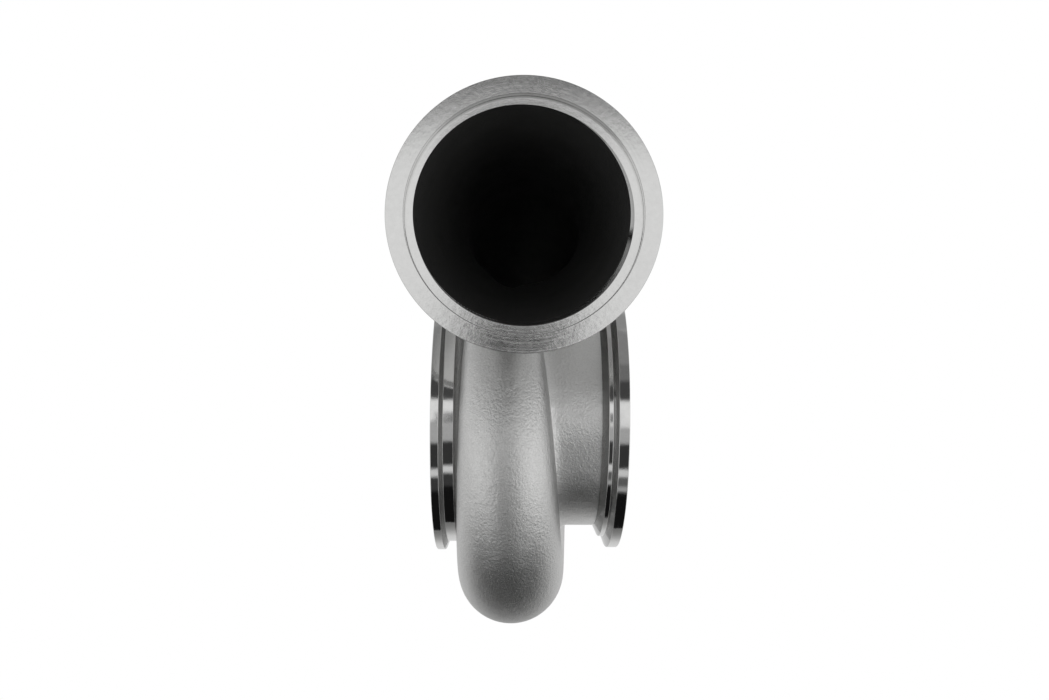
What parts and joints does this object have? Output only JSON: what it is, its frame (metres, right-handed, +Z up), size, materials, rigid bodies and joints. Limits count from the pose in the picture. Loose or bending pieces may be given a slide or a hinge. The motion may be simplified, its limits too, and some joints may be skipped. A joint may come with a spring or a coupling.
{
  "type": "turbine housing",
  "caption": "Stainless steel turbine housing of a turbocharger: a cast scroll that falls in section, with turned V-band flanges at the gas inlet, the bearing side and the outlet.",
  "frame": {"origin": "centre of the bearing-side V-band flange's face, on the turbine axis", "axes": "+X along the turbine axis from the bearing side to the outlet, -Y the way the gas inlet faces, +Z up, towards the inlet's side of the housing"},
  "size_m": [0.082, 0.1875, 0.1885],
  "materials": {
    "cast_steel": "bead-blasted investment casting",
    "turned_steel": "fine turned, bright"
  },
  "bodies": {
    "root": {"scroll_head": "cast_steel", "scroll_back": "cast_steel", "scroll_belly": "cast_steel", "scroll_tail": "cast_steel", "scroll_tongue": "cast_steel", "inlet_duct": "cast_steel", "bearing_side_web": "cast_steel", "wheel_shroud": "cast_steel", "outlet_neck": "cast_steel", "bearing_flange_rim": "turned_steel", "bearing_flange_hub": "turned_steel", "outlet_flange_collar": "turned_steel", "outlet_flange_rim": "turned_steel", "inlet_flange_neck": "turned_steel", "inlet_flange_rim": "turned_steel"}
  },
  "joints": []
}
